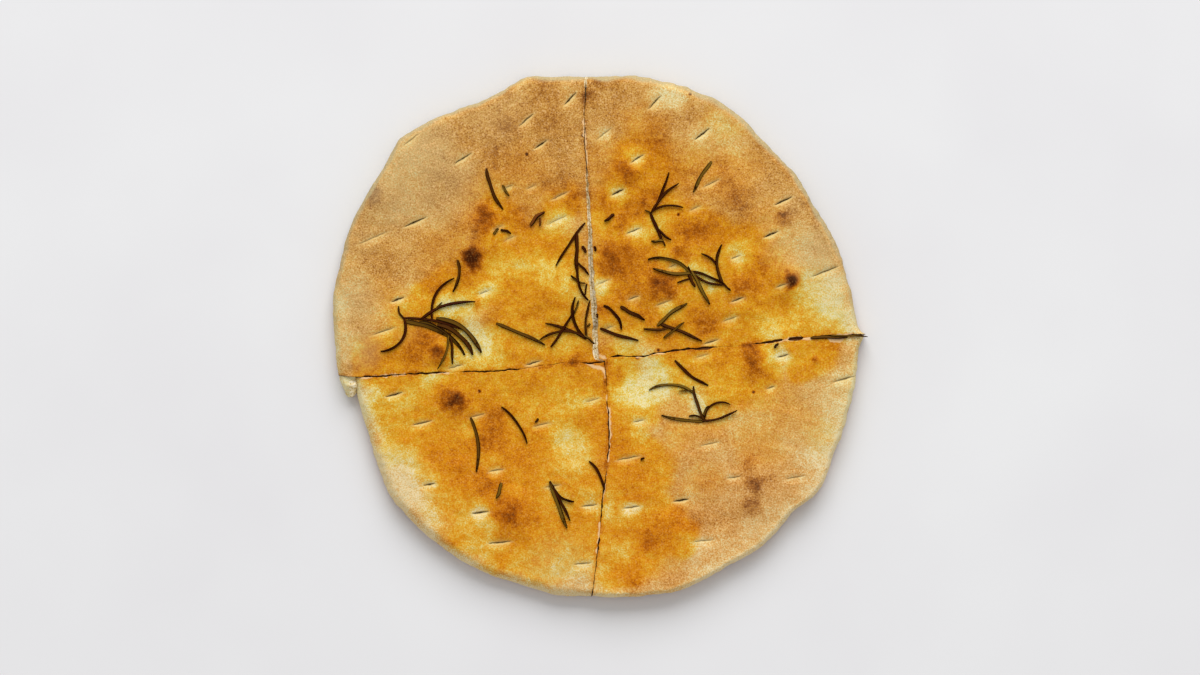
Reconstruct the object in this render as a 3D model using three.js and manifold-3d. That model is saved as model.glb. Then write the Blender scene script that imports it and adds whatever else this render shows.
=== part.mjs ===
// A flat round focaccia with rosemary, baked whole and cut in four. The quarters stay together.
// Millimetres. +X is the right of the round, +Y its back, +Z up; the flat base rests on z = 0.
import * as THREE from "three";
import Module from "manifold-3d";
import { mergeVertices } from "three/addons/utils/BufferGeometryUtils.js";

const wasm = await Module();
wasm.setup();

// Height of the crust, of the rim's widest line, and how far the base draws in under it
const THICKNESS = 13.5;
const RIM_HEIGHT = 4.6;
const BASE_INSET = 4.5;

// The knife opens a cut at the top more than at the base. The back cut stands open.
const CUT_WIDTH = { right: [0.9, 0.5], back: [2.4, 0.6], left: [0.9, 0.5], front: [0.9, 0.5] };

// Where the two strokes of the knife cross, and how each cut wanders from there to the rim
const CROSSING = [4.4, -14.3];
const CUTS = {
  right: [
    [7.5, -11.6], [13.4, -11.4], [23.7, -11.3], [36, -8.9], [53, -7.4], [85, -4.8], [118, -0.9], [150, 1],
  ],
  back: [
    [1.1, -13.7], [0, -12.4], [-0.3, -8], [-0.8, 1], [-1.8, 21], [-3.7, 55], [-4.8, 84], [-6.8, 118],
    [-6, 149],
  ],
  left: [
    [-2, -15], [-8, -14.8], [-21, -15.8], [-46, -18.4], [-66, -20], [-95, -20.5], [-132, -23], [-147, -22.5],
  ],
  front: [[5, -18.6], [5.4, -26], [7, -46], [6.4, -66], [3.2, -95], [1.6, -112], [-2.6, -148]],
};

// Each quarter runs anticlockwise from one cut to the next: how far along each cut it reaches, over what
// width its rim rounds off at the top, and, because the rim bulges and flattens by itself, the rim's
// distance from the middle of the round at a few angles.
const QUARTERS = {
  back_right: {
    cuts: ["right", "back"],
    reach: [148.6, 165],
    rounding: 5,
    rim: [
      [9, 147.3], [20, 146.4], [29, 144.8], [39, 145.8], [47, 146.1], [51, 146.8], [55, 149.2],
      [62, 151.4], [67, 150.4], [72, 150.7], [80, 150.5], [85, 149.4],
    ],
  },
  back_left: {
    cuts: ["back", "left"],
    reach: [165, 154],
    rounding: 5.5,
    rim: [
      [98, 150], [102, 151.7], [105, 153.9], [108, 151.7], [111, 149.8], [117, 149.2], [120, 150.9],
      [126, 154.3], [130, 156], [134.5, 159], [138, 157], [141.5, 155], [150, 154.1], [157, 153.3],
      [163, 152], [171, 151.6], [179, 149.8],
    ],
  },
  front_left: {
    cuts: ["left", "front"],
    reach: [141, 135],
    rounding: 6.5,
    rim: [
      [197, 140.7], [201, 140.6], [204, 141.8], [211, 144.7], [218, 148.4], [225, 148.7],
      [236, 149.1], [246, 148.8], [256, 148], [261, 149], [265, 148.6],
    ],
  },
  front_right: {
    cuts: ["front", "right"],
    reach: [135, 148],
    rounding: 3.6,
    rim: [
      [273, 148.9], [279, 149.9], [288, 152.2], [297, 150.9], [306, 151.7], [311, 151.9],
      [315, 150.8], [318, 149.9], [321, 151.8], [324, 153.8], [327, 154.4], [330, 152.8],
      [333, 150.8], [339, 150.3], [345, 149.6], [352, 149.6],
    ],
  },
};

// Blisters raised by steam and hollows where the oil lay: x, y, radius, rise
const SWELLS = [
  [-68, 56, 22, 2.2], [-125, 77, 16, 1.2], [-91, -8, 13, 1.2], [-81, -38, 17, 1.6], [-50, -101, 20, 1.8],
  [-28, 26, 20, 1.2], [18, 93, 20, 1.5], [37, 27, 16, 1.2], [78, 78, 26, 1.6], [110, 34, 14, 1.4],
  [84, 20, 18, 1.2], [91, -15, 14, 1.2], [88, -88, 22, 1.8], [45, -112, 22, 1.4], [60, -70, 30, 1.4],
  [-100, 92, 26, 1.2], [-67, -1, 16, -1.6], [24, -26, 20, -1.8], [-15, -62, 17, -1.4], [108, 14, 14, -1.2],
];

// Slits pricked through the dough before baking: x, y, length. The docker was swung in an arc,
// so the slits turn from square-on at the front to slanting at the back.
const SLIT_WIDTH = 1.8;
const SLIT_DEPTH = 3;
const SLITS = [
  [-15, 135, 10], [-40, 123, 11], [-32, 109, 9], [-76, 101, 12], [-105, 112, 13], [-37, 85, 6],
  [-21, 80, 11], [-103, 65, 14], [-127, 56, 19], [-113, 21, 8], [-121, 3, 14], [-23, 66, 13],
  [-64, 25, 7], [-80, -16, 9], [33, 133, 11], [60, 115, 11], [4, 115, 11], [23, 101, 9],
  [12, 82, 8], [65, 87, 11], [106, 77, 11], [99, 58, 9], [21, 60, 9], [56, 73, 7],
  [79, 45, 6], [4, 31, 8], [21, 22, 7], [38, 19, 9], [105, 29, 7], [130, 37, 17],
  [80, 21, 8], [76, 10, 9], [65, -3, 9], [-115, -33, 10], [-99, -49, 11], [-68, -45, 9],
  [-31, -50, 10], [-4, -36, 9], [-57, -76, 9], [-95, -84, 7], [-66, -100, 10], [-55, -117, 13],
  [-4, -96, 9], [-8, -129, 10], [60, -11, 8], [106, -11, 7], [24, -48, 7], [99, -29, 5],
  [64, -61, 11], [18, -69, 14], [78, -80, 8], [113, -80, 11], [48, -93, 9], [20, -97, 10],
  [61, -116, 12], [141, -24, 12],
];

// Dried rosemary. Each leaf: x and y of its foot, heading, length, turn along it, width.
const LEAF_THICKNESS = 1.5;
const LEAF_CLEARANCE = 0.5;
const LEAF_STEP = 6;
const SPRIGS = {
  rosemary_left: [
    [-109.5, 10.5, 0, 38, -24, 2.3], [-91, 10.4, -6, 34, -63, 3], [-90.3, 6.5, -8, 27.8, -65, 2.6],
    [-100.5, 8, -8, 33, -56, 3.1], [-83.5, 2, -76, 18, -17, 1.8], [-84, 2, -87, 22, -40, 1.5],
    [-108.5, 8.5, -9, 28, -21, 3], [-93, 9, 104, 29.5, -82, 1.8], [-99.5, 10, 39, 33, -43, 2.1],
    [-109, 10, 146, 8.5, -63, 1.4], [-109.7, 11.1, -65, 28, -117, 1.9],
  ],
  rosemary_centre: [
    [-6, -1.5, 144, 25, 30, 1.9], [-6, -1, 144, 28.5, 77, 1.7], [-26, -6, 52, 24.5, 10, 1.8],
    [-6, -1.5, 141, 26.5, -74, 2.3], [-5.5, -1.5, 99, 22.5, -28, 1.6], [-7, 0.5, -28, 7.5, -23, 1.7],
  ],
  rosemary_beside_cut: [
    [-6.5, 64.5, -130, 29.5, 12, 1.8], [-11, 58.5, -93, 23, 6, 2.6], [-10.5, 39, -102, 20.5, 60, 1.8],
    [-10.8, 42, -42, 9.5, -10, 1.6], [-9.6, 30.5, 138, 6.5, 5, 1.6],
  ],
  rosemary_back_right: [
    [31, 70, 57, 25.5, 19, 1.8], [31, 70, 65, 23.5, -36, 1.8], [30.5, 70, 41, 20, -63, 1.5],
    [30.5, 70.5, -69, 18, 3, 2.3], [34.5, 61.5, -50, 10.5, 19, 1.6], [38, 54.5, -170, 7, -14, 1.9],
  ],
  rosemary_right: [
    [53.5, 35.5, 125, 27.5, 73, 2.3], [54.5, 36, 187, 23, -27, 2.4], [54, 37, -60, 21.5, -3, 2.4],
    [52, 35.5, -59, 8.5, -6, 2.1], [53.5, 37, -10, 21, -22, 1.8], [55.5, 35, -38, 18.5, 39, 1.6],
    [72.5, 29, 125, 24.5, -63, 2.1], [69, 39.5, 120, 12.5, 44, 1.5], [72, 29.5, -33, 5.5, -16, 1.5],
  ],
  rosemary_right_low: [
    [34.5, 6, 48, 21.5, -22, 2.5], [41, 5, -164, 14.5, -27, 1.8], [38, -1, 40, 15, -5, 1.6],
    [35.5, 7.5, -20, 26.5, -5, 2.3],
  ],
  rosemary_front: [
    [-26.5, -82, -74, 28.5, 8, 2.7], [-26.5, -82.5, -59, 25, -7, 1.9], [-23.5, -87, -65, 13.5, 66, 1.8],
  ],
  rosemary_front_right: [
    [61, -48.3, 180, 24.5, -17, 2.1], [61, -47.3, 138, 9.3, 58, 1.3], [61.8, -47.8, 124, 21, -30, 2.1],
    [56.5, -33.5, 135, 29, 77, 1.9], [61.8, -47.3, 68, 18.5, -78, 1.5], [60, -48, 3, 21, 28, 1.6],
  ],
  rosemary_in_cut: [[121.5, -0.9, 4, 21, -6, 2], [133, 0.2, 5, 21, -12, 1.3]],
};

// Single leaves baked onto each quarter
const LOOSE_LEAVES = {
  back_right: [
    [65.5, 99.5, -129, 20.5, 16, 2.3], [10, 69.5, -140, 7, -7, 2.3], [13.5, 17, -29, 16, 0, 2.6],
    [4, 17.5, -20, 18, -67, 2.2], [2, 4.6, -22, 23, 9, 2.2],
  ],
  back_left: [
    [-62.5, 95.5, -84, 25.5, 32, 2.3], [-53.5, 86, -60, 7.5, 5, 1.6], [-37.5, 63, 64, 11.5, -40, 2.8],
    [-58.5, 58, 55, 4.5, -13, 1.8], [-54.5, 60.5, -3, 6.5, -35, 1.8], [-79, 43.5, -72, 19, -52, 2.1],
    [-57, 7.5, -20, 30.5, -8, 2.3], [-8, 51.5, -67, 4.5, 14, 1.7],
  ],
  front_left: [
    [-71.5, -46, -66, 31.5, -36, 2.3], [-54, -40, -35, 26, -40, 1.6], [-54, -83, -99, 9.5, -19, 2.2],
    [-5, -71, -40, 15, -36, 1.9],
  ],
  front_right: [[44.5, -13.5, -51, 24, 28, 2.1]],
};

// A scrap of the front left rim that tore off with the back left quarter
const TORN_RIM = { leaf: [-141, -16, -92, 18.5, 6, 8], bottom: 0.4, top: 10 };

const CRUST_COLOUR = "#c9954a";
const ROSEMARY_COLOUR = "#3d3620";
const RINGS = 24;
const RIM_STEPS = 2;
const OVEN_FLOOR = 1;

// Rises everywhere on the crust: long, shallow waves of the dough plus its blisters and hollows
function crustHeight(x, y) {
  let height = THICKNESS + 0.5 * Math.sin(x / 19 + 1) + 0.5 * Math.sin(y / 16 - x / 60);
  for (const [swellX, swellY, radius, rise] of SWELLS) {
    const distance = Math.hypot(x - swellX, y - swellY) / radius;
    if (distance < 1) height += rise * (1 - distance * distance) ** 2;
  }
  return height;
}

function slitTurn(y) {
  return THREE.MathUtils.degToRad(18 + 0.1 * y + 0.35 * Math.max(0, y - 90));
}

// The wandering line of one cut, from the crossing out to a reach along it
function cutLine(name) {
  const knots = [CROSSING, ...CUTS[name]].map(([x, y]) => new THREE.Vector2(x, y));
  return new THREE.SplineCurve(knots);
}

// The side of a cut that one quarter sees: which way the quarter lies from it, and how far along it reaches
function cutSide(name, reach, turn) {
  const line = cutLine(name);
  const span = Math.min(1, reach / line.getLength());
  const end = line.getPointAt(span).sub(line.getPointAt(0)).normalize();
  const inward = new THREE.Vector2(-end.y * turn, end.x * turn);
  const [widthTop, widthBase] = CUT_WIDTH[name];
  const halfWidth = (rise) => THREE.MathUtils.lerp(widthBase, widthTop, rise) / 2;
  return { point: (along) => line.getPointAt(along * span), inward, halfWidth };
}

// Bends a block into one quarter: its depth becomes height, its rings run from the tip to the rim
function quarterGeometry({ cuts, reach, rounding, rim }) {
  const first = cutSide(cuts[0], reach[0], 1);
  const second = cutSide(cuts[1], reach[1], -1);
  const edge = (side, other, along, rise) =>
    side.point(along)
      .addScaledVector(side.inward, side.halfWidth(rise))
      .addScaledVector(other.inward, other.halfWidth(rise) * (1 - along));
  const rimKnots = rim.map(([angle, radius]) => {
    const turn = THREE.MathUtils.degToRad(angle);
    return new THREE.Vector2(radius * Math.cos(turn), radius * Math.sin(turn));
  });
  const geometry = new THREE.BoxGeometry(1, 1, 1, RINGS, RINGS, RIM_STEPS);
  const position = geometry.attributes.position;
  const rims = new Map();
  for (let i = 0; i < position.count; i += 1) {
    const across = position.getX(i) + 0.5;
    const along = position.getY(i) + 0.5;
    const rise = position.getZ(i) + 0.5;
    const ring = Math.max(across, along);
    let sweep = 0.5;
    if (ring > 0) sweep = across >= along ? along / across / 2 : 1 - across / along / 2;
    if (!rims.has(rise)) {
      const firstCorner = edge(first, second, 1, rise);
      const secondCorner = edge(second, first, 1, rise);
      rims.set(rise, new THREE.SplineCurve([firstCorner, ...rimKnots, secondCorner]));
    }
    const rimLine = rims.get(rise);
    const tip = edge(first, second, 0, rise);
    const rimPoint = rimLine.getPointAt(sweep);
    const length = rimPoint.distanceTo(tip);
    const spacing = ring * (1.35 - 0.35 * ring);
    const inset = BASE_INSET * (1 - Math.sqrt(1 - (1 - rise) ** 2));
    const out = spacing * (1 - inset / length);
    const point = tip.clone().lerp(rimPoint, out);
    const firstEnd = rimLine.getPointAt(0);
    const secondEnd = rimLine.getPointAt(1);
    const firstDrift = edge(first, second, out, rise).sub(tip.clone().lerp(firstEnd, out));
    const secondDrift = edge(second, first, out, rise).sub(tip.clone().lerp(secondEnd, out));
    point.addScaledVector(firstDrift, 1 - sweep).addScaledVector(secondDrift, sweep);
    const nearRim = Math.min(1, (1 - spacing) * length / rounding);
    const dome = Math.sqrt(1 - (1 - nearRim) ** 2.4);
    const top = THREE.MathUtils.lerp(RIM_HEIGHT, crustHeight(point.x, point.y), dome);
    position.setXYZ(i, point.x, point.y, THREE.MathUtils.lerp(-OVEN_FLOOR, top, rise));
  }
  return geometry;
}

// Bends a block along the arc of a leaf, narrowing it towards both ends
function leafGeometry([footX, footY, heading, length, turn, width], heightAt, thickness) {
  const steps = Math.max(2, Math.ceil(length / LEAF_STEP));
  const geometry = new THREE.BoxGeometry(1, 1, 1, steps, 1, 1);
  const position = geometry.attributes.position;
  const start = THREE.MathUtils.degToRad(heading);
  const bend = THREE.MathUtils.degToRad(turn);
  for (let i = 0; i < position.count; i += 1) {
    const along = position.getX(i) + 0.5;
    const halfTurn = bend * along / 2;
    const chord = length * along * (halfTurn === 0 ? 1 : Math.sin(halfTurn) / halfTurn);
    const x = footX + chord * Math.cos(start + halfTurn);
    const y = footY + chord * Math.sin(start + halfTurn);
    const facing = start + bend * along;
    const body = 0.5 + 0.5 * Math.sqrt(Math.max(0, 1 - (2 * along - 1) ** 4));
    const side = position.getY(i) * width * body;
    const up = position.getZ(i) * thickness * body;
    position.setXYZ(i, x - side * Math.sin(facing), y + side * Math.cos(facing), heightAt(x, y) + up);
  }
  return geometry;
}

function solid(geometry) {
  geometry.deleteAttribute("normal");
  geometry.deleteAttribute("uv");
  const welded = mergeVertices(geometry, 1e-4);
  const mesh = new wasm.Mesh({
    numProp: 3,
    vertProperties: new Float32Array(welded.attributes.position.array),
    triVerts: new Uint32Array(welded.index.array),
  });
  return new wasm.Manifold(mesh);
}

function meshOf(name, body, colour, roughness) {
  const { vertProperties, triVerts } = body.getMesh();
  const geometry = new THREE.BufferGeometry();
  geometry.setAttribute("position", new THREE.Float32BufferAttribute(vertProperties, 3));
  geometry.setIndex(Array.from(triVerts));
  geometry.computeVertexNormals();
  const material = new THREE.MeshStandardMaterial({ color: colour, roughness, metalness: 0 });
  const mesh = new THREE.Mesh(geometry, material);
  mesh.name = name;
  return mesh;
}

function slitCutter([x, y, length]) {
  const geometry = new THREE.OctahedronGeometry(1);
  geometry.scale(length / 2, SLIT_WIDTH / 2, SLIT_DEPTH);
  geometry.rotateZ(slitTurn(y));
  geometry.translate(x, y, crustHeight(x, y));
  return solid(geometry);
}

// The oven floor bakes the base flat: what hangs below it is cut away
const floorSlab = new THREE.BoxGeometry(400, 400, 2 * OVEN_FLOOR);
floorSlab.translate(0, 0, -OVEN_FLOOR);
const ovenFloor = solid(floorSlab);

const group = new THREE.Group();
group.name = "focaccia";

for (const [name, quarter] of Object.entries(QUARTERS)) {
  let bread = solid(quarterGeometry(quarter)).subtract(ovenFloor);
  for (const slit of SLITS) bread = bread.subtract(slitCutter(slit));
  for (const leaf of LOOSE_LEAVES[name]) {
    bread = bread.add(solid(leafGeometry(leaf, crustHeight, LEAF_THICKNESS)));
  }
  if (name === "back_left") {
    const halfway = (TORN_RIM.bottom + TORN_RIM.top) / 2;
    const scrap = leafGeometry(TORN_RIM.leaf, () => halfway, TORN_RIM.top - TORN_RIM.bottom);
    bread = bread.add(solid(scrap));
  }
  group.add(meshOf(`quarter_${name}`, bread, CRUST_COLOUR, 0.7));
}

const restingHeight = (x, y) => crustHeight(x, y) + LEAF_CLEARANCE + LEAF_THICKNESS / 2;
for (const [name, leaves] of Object.entries(SPRIGS)) {
  const blades = leaves.map((leaf) => solid(leafGeometry(leaf, restingHeight, LEAF_THICKNESS)));
  const sprig = blades.reduce((joined, blade) => joined.add(blade));
  group.add(meshOf(name, sprig, ROSEMARY_COLOUR, 0.6));
}

// The middle of the round's box stands on the origin
const box = new THREE.Box3().setFromObject(group);
const middle = box.getCenter(new THREE.Vector3());
for (const mesh of group.children) mesh.geometry.translate(-middle.x, -middle.y, -box.min.z);

export default group;
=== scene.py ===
import math

import bpy
import numpy as np
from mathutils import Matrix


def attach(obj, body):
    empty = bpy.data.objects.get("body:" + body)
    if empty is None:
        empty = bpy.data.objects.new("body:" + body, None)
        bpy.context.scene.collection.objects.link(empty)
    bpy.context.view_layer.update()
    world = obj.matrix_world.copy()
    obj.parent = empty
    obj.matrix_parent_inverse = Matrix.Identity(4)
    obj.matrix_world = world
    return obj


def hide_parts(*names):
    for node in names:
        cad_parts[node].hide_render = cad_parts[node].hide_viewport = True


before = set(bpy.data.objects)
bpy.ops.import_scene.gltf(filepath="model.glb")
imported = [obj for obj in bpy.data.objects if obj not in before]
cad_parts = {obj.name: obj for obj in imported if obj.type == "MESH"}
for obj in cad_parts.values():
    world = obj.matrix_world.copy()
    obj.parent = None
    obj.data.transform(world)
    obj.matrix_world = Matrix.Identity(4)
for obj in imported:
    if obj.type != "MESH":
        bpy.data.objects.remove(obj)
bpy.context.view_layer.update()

# A flat round focaccia with rosemary, cut in four. Shapes are worked out in millimetres from the middle of
# the round, +X to the right, +Y to the back, and moved to the part's own origin at the end.
MM = 0.001
ORIGIN = (1.9, 0.108)

# Height of the crust, of the rim's widest line, how far the base draws in under it, and how much of the
# wall's foot the oven floor pressed flat
THICKNESS = 13.5
RIM_HEIGHT = 4.6
BASE_INSET = 4.5
PRESSED_FOOT = 1
# How squarely an edge rounds off at the top: 2 would be a quarter of an ellipse
ROUNDNESS = 2.4
# Mesh steps from a quarter's tip to its rim, and its wall's rows as shares of the crust's height
RINGS = 280
WALL_RISES = (0.97, 0.93, 0.89, 0.84, 0.76, 0.64, 0.5, 0.36, 0.22, 0.1, 0)
# The bread's materials, in their order on a piece
CRUST, CRUMB, BASE = range(3)

# The cuts, each from the crossing outward: its line, its width at the crust and at the base, and what the
# oven did along it, by distance from the crossing and half length. It gapes by so much more, or less where
# that is negative, it closed up again, and the torn crumb that bridges it under the crust stayed so pale.
# Elsewhere that crumb is painted dark brown, as painted shade in the depth of the cut.
CROSSING = (4.4, -14.3)
CUTS = {
    "right": dict(
        line=[
            (7.5, -11.6), (13.4, -11.4), (23.7, -11.3), (36, -8.9), (53, -7.4), (85, -4.8), (118, -0.9),
            (150, 1), (154, 1.2)],
        width=(0.5, 0.4),
        gapes=[
            (8, 4, 0.9), (27, 9, 0.5), (39, 5, 0.8), (48, 5, 0.7), (58, 6, 1.3), (96, 6.5, 1.2),
            (111, 5.5, 2), (128, 12, 0.8)],
        closed=[(76, 12), (104.5, 2), (117, 3)],
        pale=[(135, 4, 0.8)]),
    "back": dict(
        line=[
            (1.1, -13.7), (0, -12.4), (-0.3, -8), (-0.8, 1), (-1.8, 21), (-3.7, 55), (-4.8, 84),
            (-6.8, 118), (-6, 149)],
        width=(2.2, 0.6),
        gapes=[(36, 40, 0.9), (130, 42, -1.7), (149, 14, -0.7)],
        closed=[],
        pale=[
            (9, 14, 1), (52, 40, 0.75), (34, 9, 0.5), (90, 24, 0.95), (124, 9, 0.5), (145, 13, 0.3),
            (161, 6, 1)]),
    "left": dict(
        line=[
            (-2, -15), (-8, -14.8), (-21, -15.8), (-46, -18.4), (-66, -20), (-95, -20.5), (-132, -23),
            (-147, -22.5)],
        width=(0.6, 0.4),
        gapes=[(2, 4, 0.6), (51, 4, 0.4), (64, 12, 0.3), (100, 9, 0.5), (128, 14, 0.4)],
        closed=[(30, 21), (85, 5)],
        pale=[]),
    "front": dict(
        line=[(5, -18.6), (5.4, -26), (7, -46), (6.4, -66), (3.2, -95), (1.6, -112), (-2.6, -148)],
        width=(0.4, 0.3),
        gapes=[(34, 12, 0.45), (52, 6, 0.3), (70, 6, 0.2), (84, 9, 0.2), (112, 14, 0.1)],
        closed=[(18, 5), (59, 4), (96, 5)],
        pale=[]),
}
# The crumb bridges a cut below this share of the crust's height. Half widths of the split in it, of a cut
# that closed up, and of the narrowest one that stayed open
BRIDGE_RISE = 0.93
SPLIT_HALF = 0.05
CLOSED_HALF = 0.02
NARROWEST_HALF = 0.09

# Each quarter runs anticlockwise from one cut to the next: how far along each cut it reaches, over what width
# its rim rounds off, and the rim's angle and distance from the middle. Its skin tore off along the cuts, by
# distance from the crossing, half length and width, and lifted in strips, by points along them and width.
QUARTERS = {
    "back_right": dict(
        cuts=("right", "back"), reach=(150.8, 165.9), rounding=5,
        rim=[
            (2.4, 149), (9, 147.3), (20, 146.4), (29, 144.8), (39, 145.8), (47, 146.1), (51, 146.8),
            (55, 149.2), (62, 151.4), (67, 150.4), (72, 150.7), (80, 150), (85, 149)],
        torn={"right": [(106, 7, 0.7), (136, 6, 0.9)], "back": [(5, 4, 1.2), (64, 9, 0.4), (124, 12, 0.5)]},
        lifted=[((1, -10.8), (3, -11.2), (5.4, -12.6), 1.4)]),
    "back_left": dict(
        cuts=("back", "left"), reach=(165.9, 154), rounding=5.5,
        rim=[
            (98, 149.6), (102, 151.2), (105, 153.4), (108, 151.7), (111, 149.8), (117, 149.2), (120, 150.9),
            (126, 154.3), (130, 156), (134.5, 159), (138, 157), (141.5, 155), (150, 154.1), (157, 153.3),
            (163, 152), (171, 151.6), (179, 149.8)],
        torn={"back": [(100, 12, 0.5), (136, 8, 0.6)], "left": [(122, 9, 0.4)]},
        lifted=[]),
    "front_left": dict(
        cuts=("left", "front"), reach=(143, 135), rounding=6.5,
        rim=[
            (197, 140.7), (201, 140.6), (204, 141.8), (211, 144.7), (218, 148.4), (225, 148.7),
            (236, 149.1), (246, 148.8), (256, 148), (261, 149), (265, 148.6)],
        torn={
            "left": [(132, 9, 0.4), (120, 7, 0.5), (95, 7, 0.7)],
            "front": [(24, 5, 0.3), (100, 9, 0.5)]},
        lifted=[((-7, -14.6), (-1.5, -16.9), (3.6, -18.7), (4.8, -24), 2)]),
    "front_right": dict(
        cuts=("front", "right"), reach=(135, 150.4), rounding=3.6,
        rim=[
            (273, 148.9), (279, 149.9), (288, 152.2), (297, 150.9), (306, 151.7), (311, 151.9),
            (315, 150.8), (318, 149.9), (321, 151.8), (324, 153.8), (327, 154.4), (330, 152.8),
            (333, 150.8), (339, 150.3), (345, 149.6), (352, 149.6), (357.4, 150)],
        torn={
            "front": [(32, 6, 0.6), (42, 6, 1.0), (52, 5, 0.9), (70, 10, 0.4)],
            "right": [(30, 12, 0.6), (100, 8, 0.8), (115, 5, 0.9), (132.5, 5, 3.4)]},
        lifted=[]),
}

# Blisters and hollows of the dough: x, y, radius, rise
SWELLS = [
    (-68, 56, 22, 2.2), (-125, 77, 16, 1.2), (-91, -8, 13, 1.2), (-81, -38, 17, 1.6),
    (-50, -101, 20, 1.8), (-28, 26, 20, 1.2), (18, 93, 20, 1.5), (37, 27, 16, 1.2), (78, 78, 26, 1.6),
    (110, 34, 14, 1.4), (84, 20, 18, 1.2), (91, -15, 14, 1.2), (88, -88, 22, 1.8), (45, -112, 22, 1.4),
    (60, -70, 30, 1.4), (-100, 92, 26, 1.2), (-67, -1, 16, -1.6), (24, -26, 20, -1.8),
    (-15, -62, 17, -1.4), (108, 14, 14, -1.2),
]
# How far the skin blistered up for a full step of toasting
BLISTER_RISE = 1.2

# Slits pricked before baking: x, y, length, how open they baked, how pale the dough round them stayed
SLITS = [
    (-15, 135, 10, 1.0, .8), (-40, 123, 11, .8, .6), (-32, 109, 9, 1.0, .5), (-76, 101, 12, .8, .5),
    (-105, 112, 13, .5, .3), (-50, 85, 5, .4, .2), (-37, 85, 6, .4, .4), (-21, 80, 11, .6, .5),
    (-103, 65, 14, .9, .6), (-127, 56, 19, .45, .6), (-113, 21, 8, 1.0, .2), (-121, 3, 14, .6, .3),
    (-56, 62, 7, .4, .4), (-49, 56, 7, .4, .5), (-23, 66, 14, .5, .4), (-64, 25, 7, .5, .4),
    (-36, -15, 9, .9, .7), (-80, -17, 9, .6, .4), (33, 133, 11, .8, .7), (60, 115, 11, 1.0, .6),
    (4, 115, 11, .5, .9), (23, 101, 9, .8, .9), (12, 82, 8, 1.0, 1.0), (65, 87, 11, .6, .5),
    (106, 77, 11, 1.1, .6), (99, 58, 9, 1.1, .5), (21, 60, 9, .8, .9), (56, 73, 7, .5, .5),
    (79, 45, 6, .6, 1.0), (43, 40, 5, .5, .7), (4, 31, 9, .5, .8), (21, 22, 7, .7, .9),
    (38, 19, 9, .5, .6), (105, 29, 7, .6, .5), (130, 37, 17, .7, .2), (80, 21, 8, .8, .5),
    (76, 10, 9, .5, .6), (7, 5, 6, .5, .6), (65, -3, 9, .8, .6), (-115, -33, 10, 1.0, .4),
    (-99, -49, 11, .8, .5), (-68, -45, 9, .5, .4), (-31, -50, 10, .5, .4), (-2, -36, 9, .5, .6),
    (-57, -76, 9, .6, .7), (-95, -84, 7, .8, .3), (-25, -85, 9, .5, .4), (-66, -100, 10, 1.0, 1.0),
    (-55, -117, 13, .8, .5), (-4, -96, 9, .7, .7), (-8, -129, 10, .6, .5), (60, -11, 8, .4, .5),
    (106, -11, 7, .8, 1.0), (24, -48, 7, .6, .5), (99, -29, 5, .6, .4), (64, -61, 11, .5, .5),
    (18, -69, 14, .6, .5), (78, -80, 8, .6, .4), (113, -80, 11, .45, .4), (48, -93, 9, 1.1, .8),
    (20, -97, 10, .7, 1.0), (61, -116, 12, .5, .5), (141, -24, 15, .7, .3),
]
SLIT_WIDTH = 1.6
SLIT_DEPTH = 1.1
# How much farther than its length a slit is felt from its middle, and the distance that places beyond get
SLIT_REACH = 9
NO_SLIT = 9

# Where the oil soaked in: x, y, radius
OIL_POOLS = [
    (-38, 38, 34), (-66, 32, 22), (-87, 25, 16), (-116, -14, 18), (-32, 1, 34), (-55, 64, 15),
    (-95, -2, 28), (-18, 75, 15), (30, 96, 22), (25, 66, 34), (30, 27, 40), (76, 41, 31), (96, 17, 27),
    (70, 7, 34), (56, 58, 21), (125, 4, 19), (91, 54, 10), (11, -20, 18), (79, -18, 30), (122, -7, 14),
    (24, -76, 24), (46, -18, 18), (24, -38, 16), (25, -107, 33), (48, -116, 11), (13, -134, 19),
    (9, -50, 21), (-44, -36, 48), (-84, -39, 35), (-92, -58, 26), (-55, -79, 46), (-21, -99, 40),
    (-21, -48, 40), (-44, -119, 28), (-69, -119, 17), (-115, -43, 19), (-130, -11, 15), (-116, -63, 13),
    (118, -20, 11), (-4, -25, 26),
]
# Where only a film of it spread
OIL_FILMS = [
    (46, 102, 18), (58, 98, 18), (53, 84, 11), (2, 95, 18), (36, 116, 14), (-72, 58, 16), (92, -62, 18),
    (124, -54, 16), (124, 28, 18), (76, 90, 20), (96, 60, 20), (62, -82, 16), (48, -58, 14),
    (106, -8, 14), (72, 122, 14), (28, 120, 16), (118, 20, 24), (-40, 84, 26), (-62, 74, 20),
    (-88, 44, 20), (-112, 12, 22), (-112, -60, 18), (-88, -96, 16), (-30, -126, 24), (58, -40, 26),
    (104, -36, 20),
]
FILM_STRENGTH = 0.45
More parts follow.
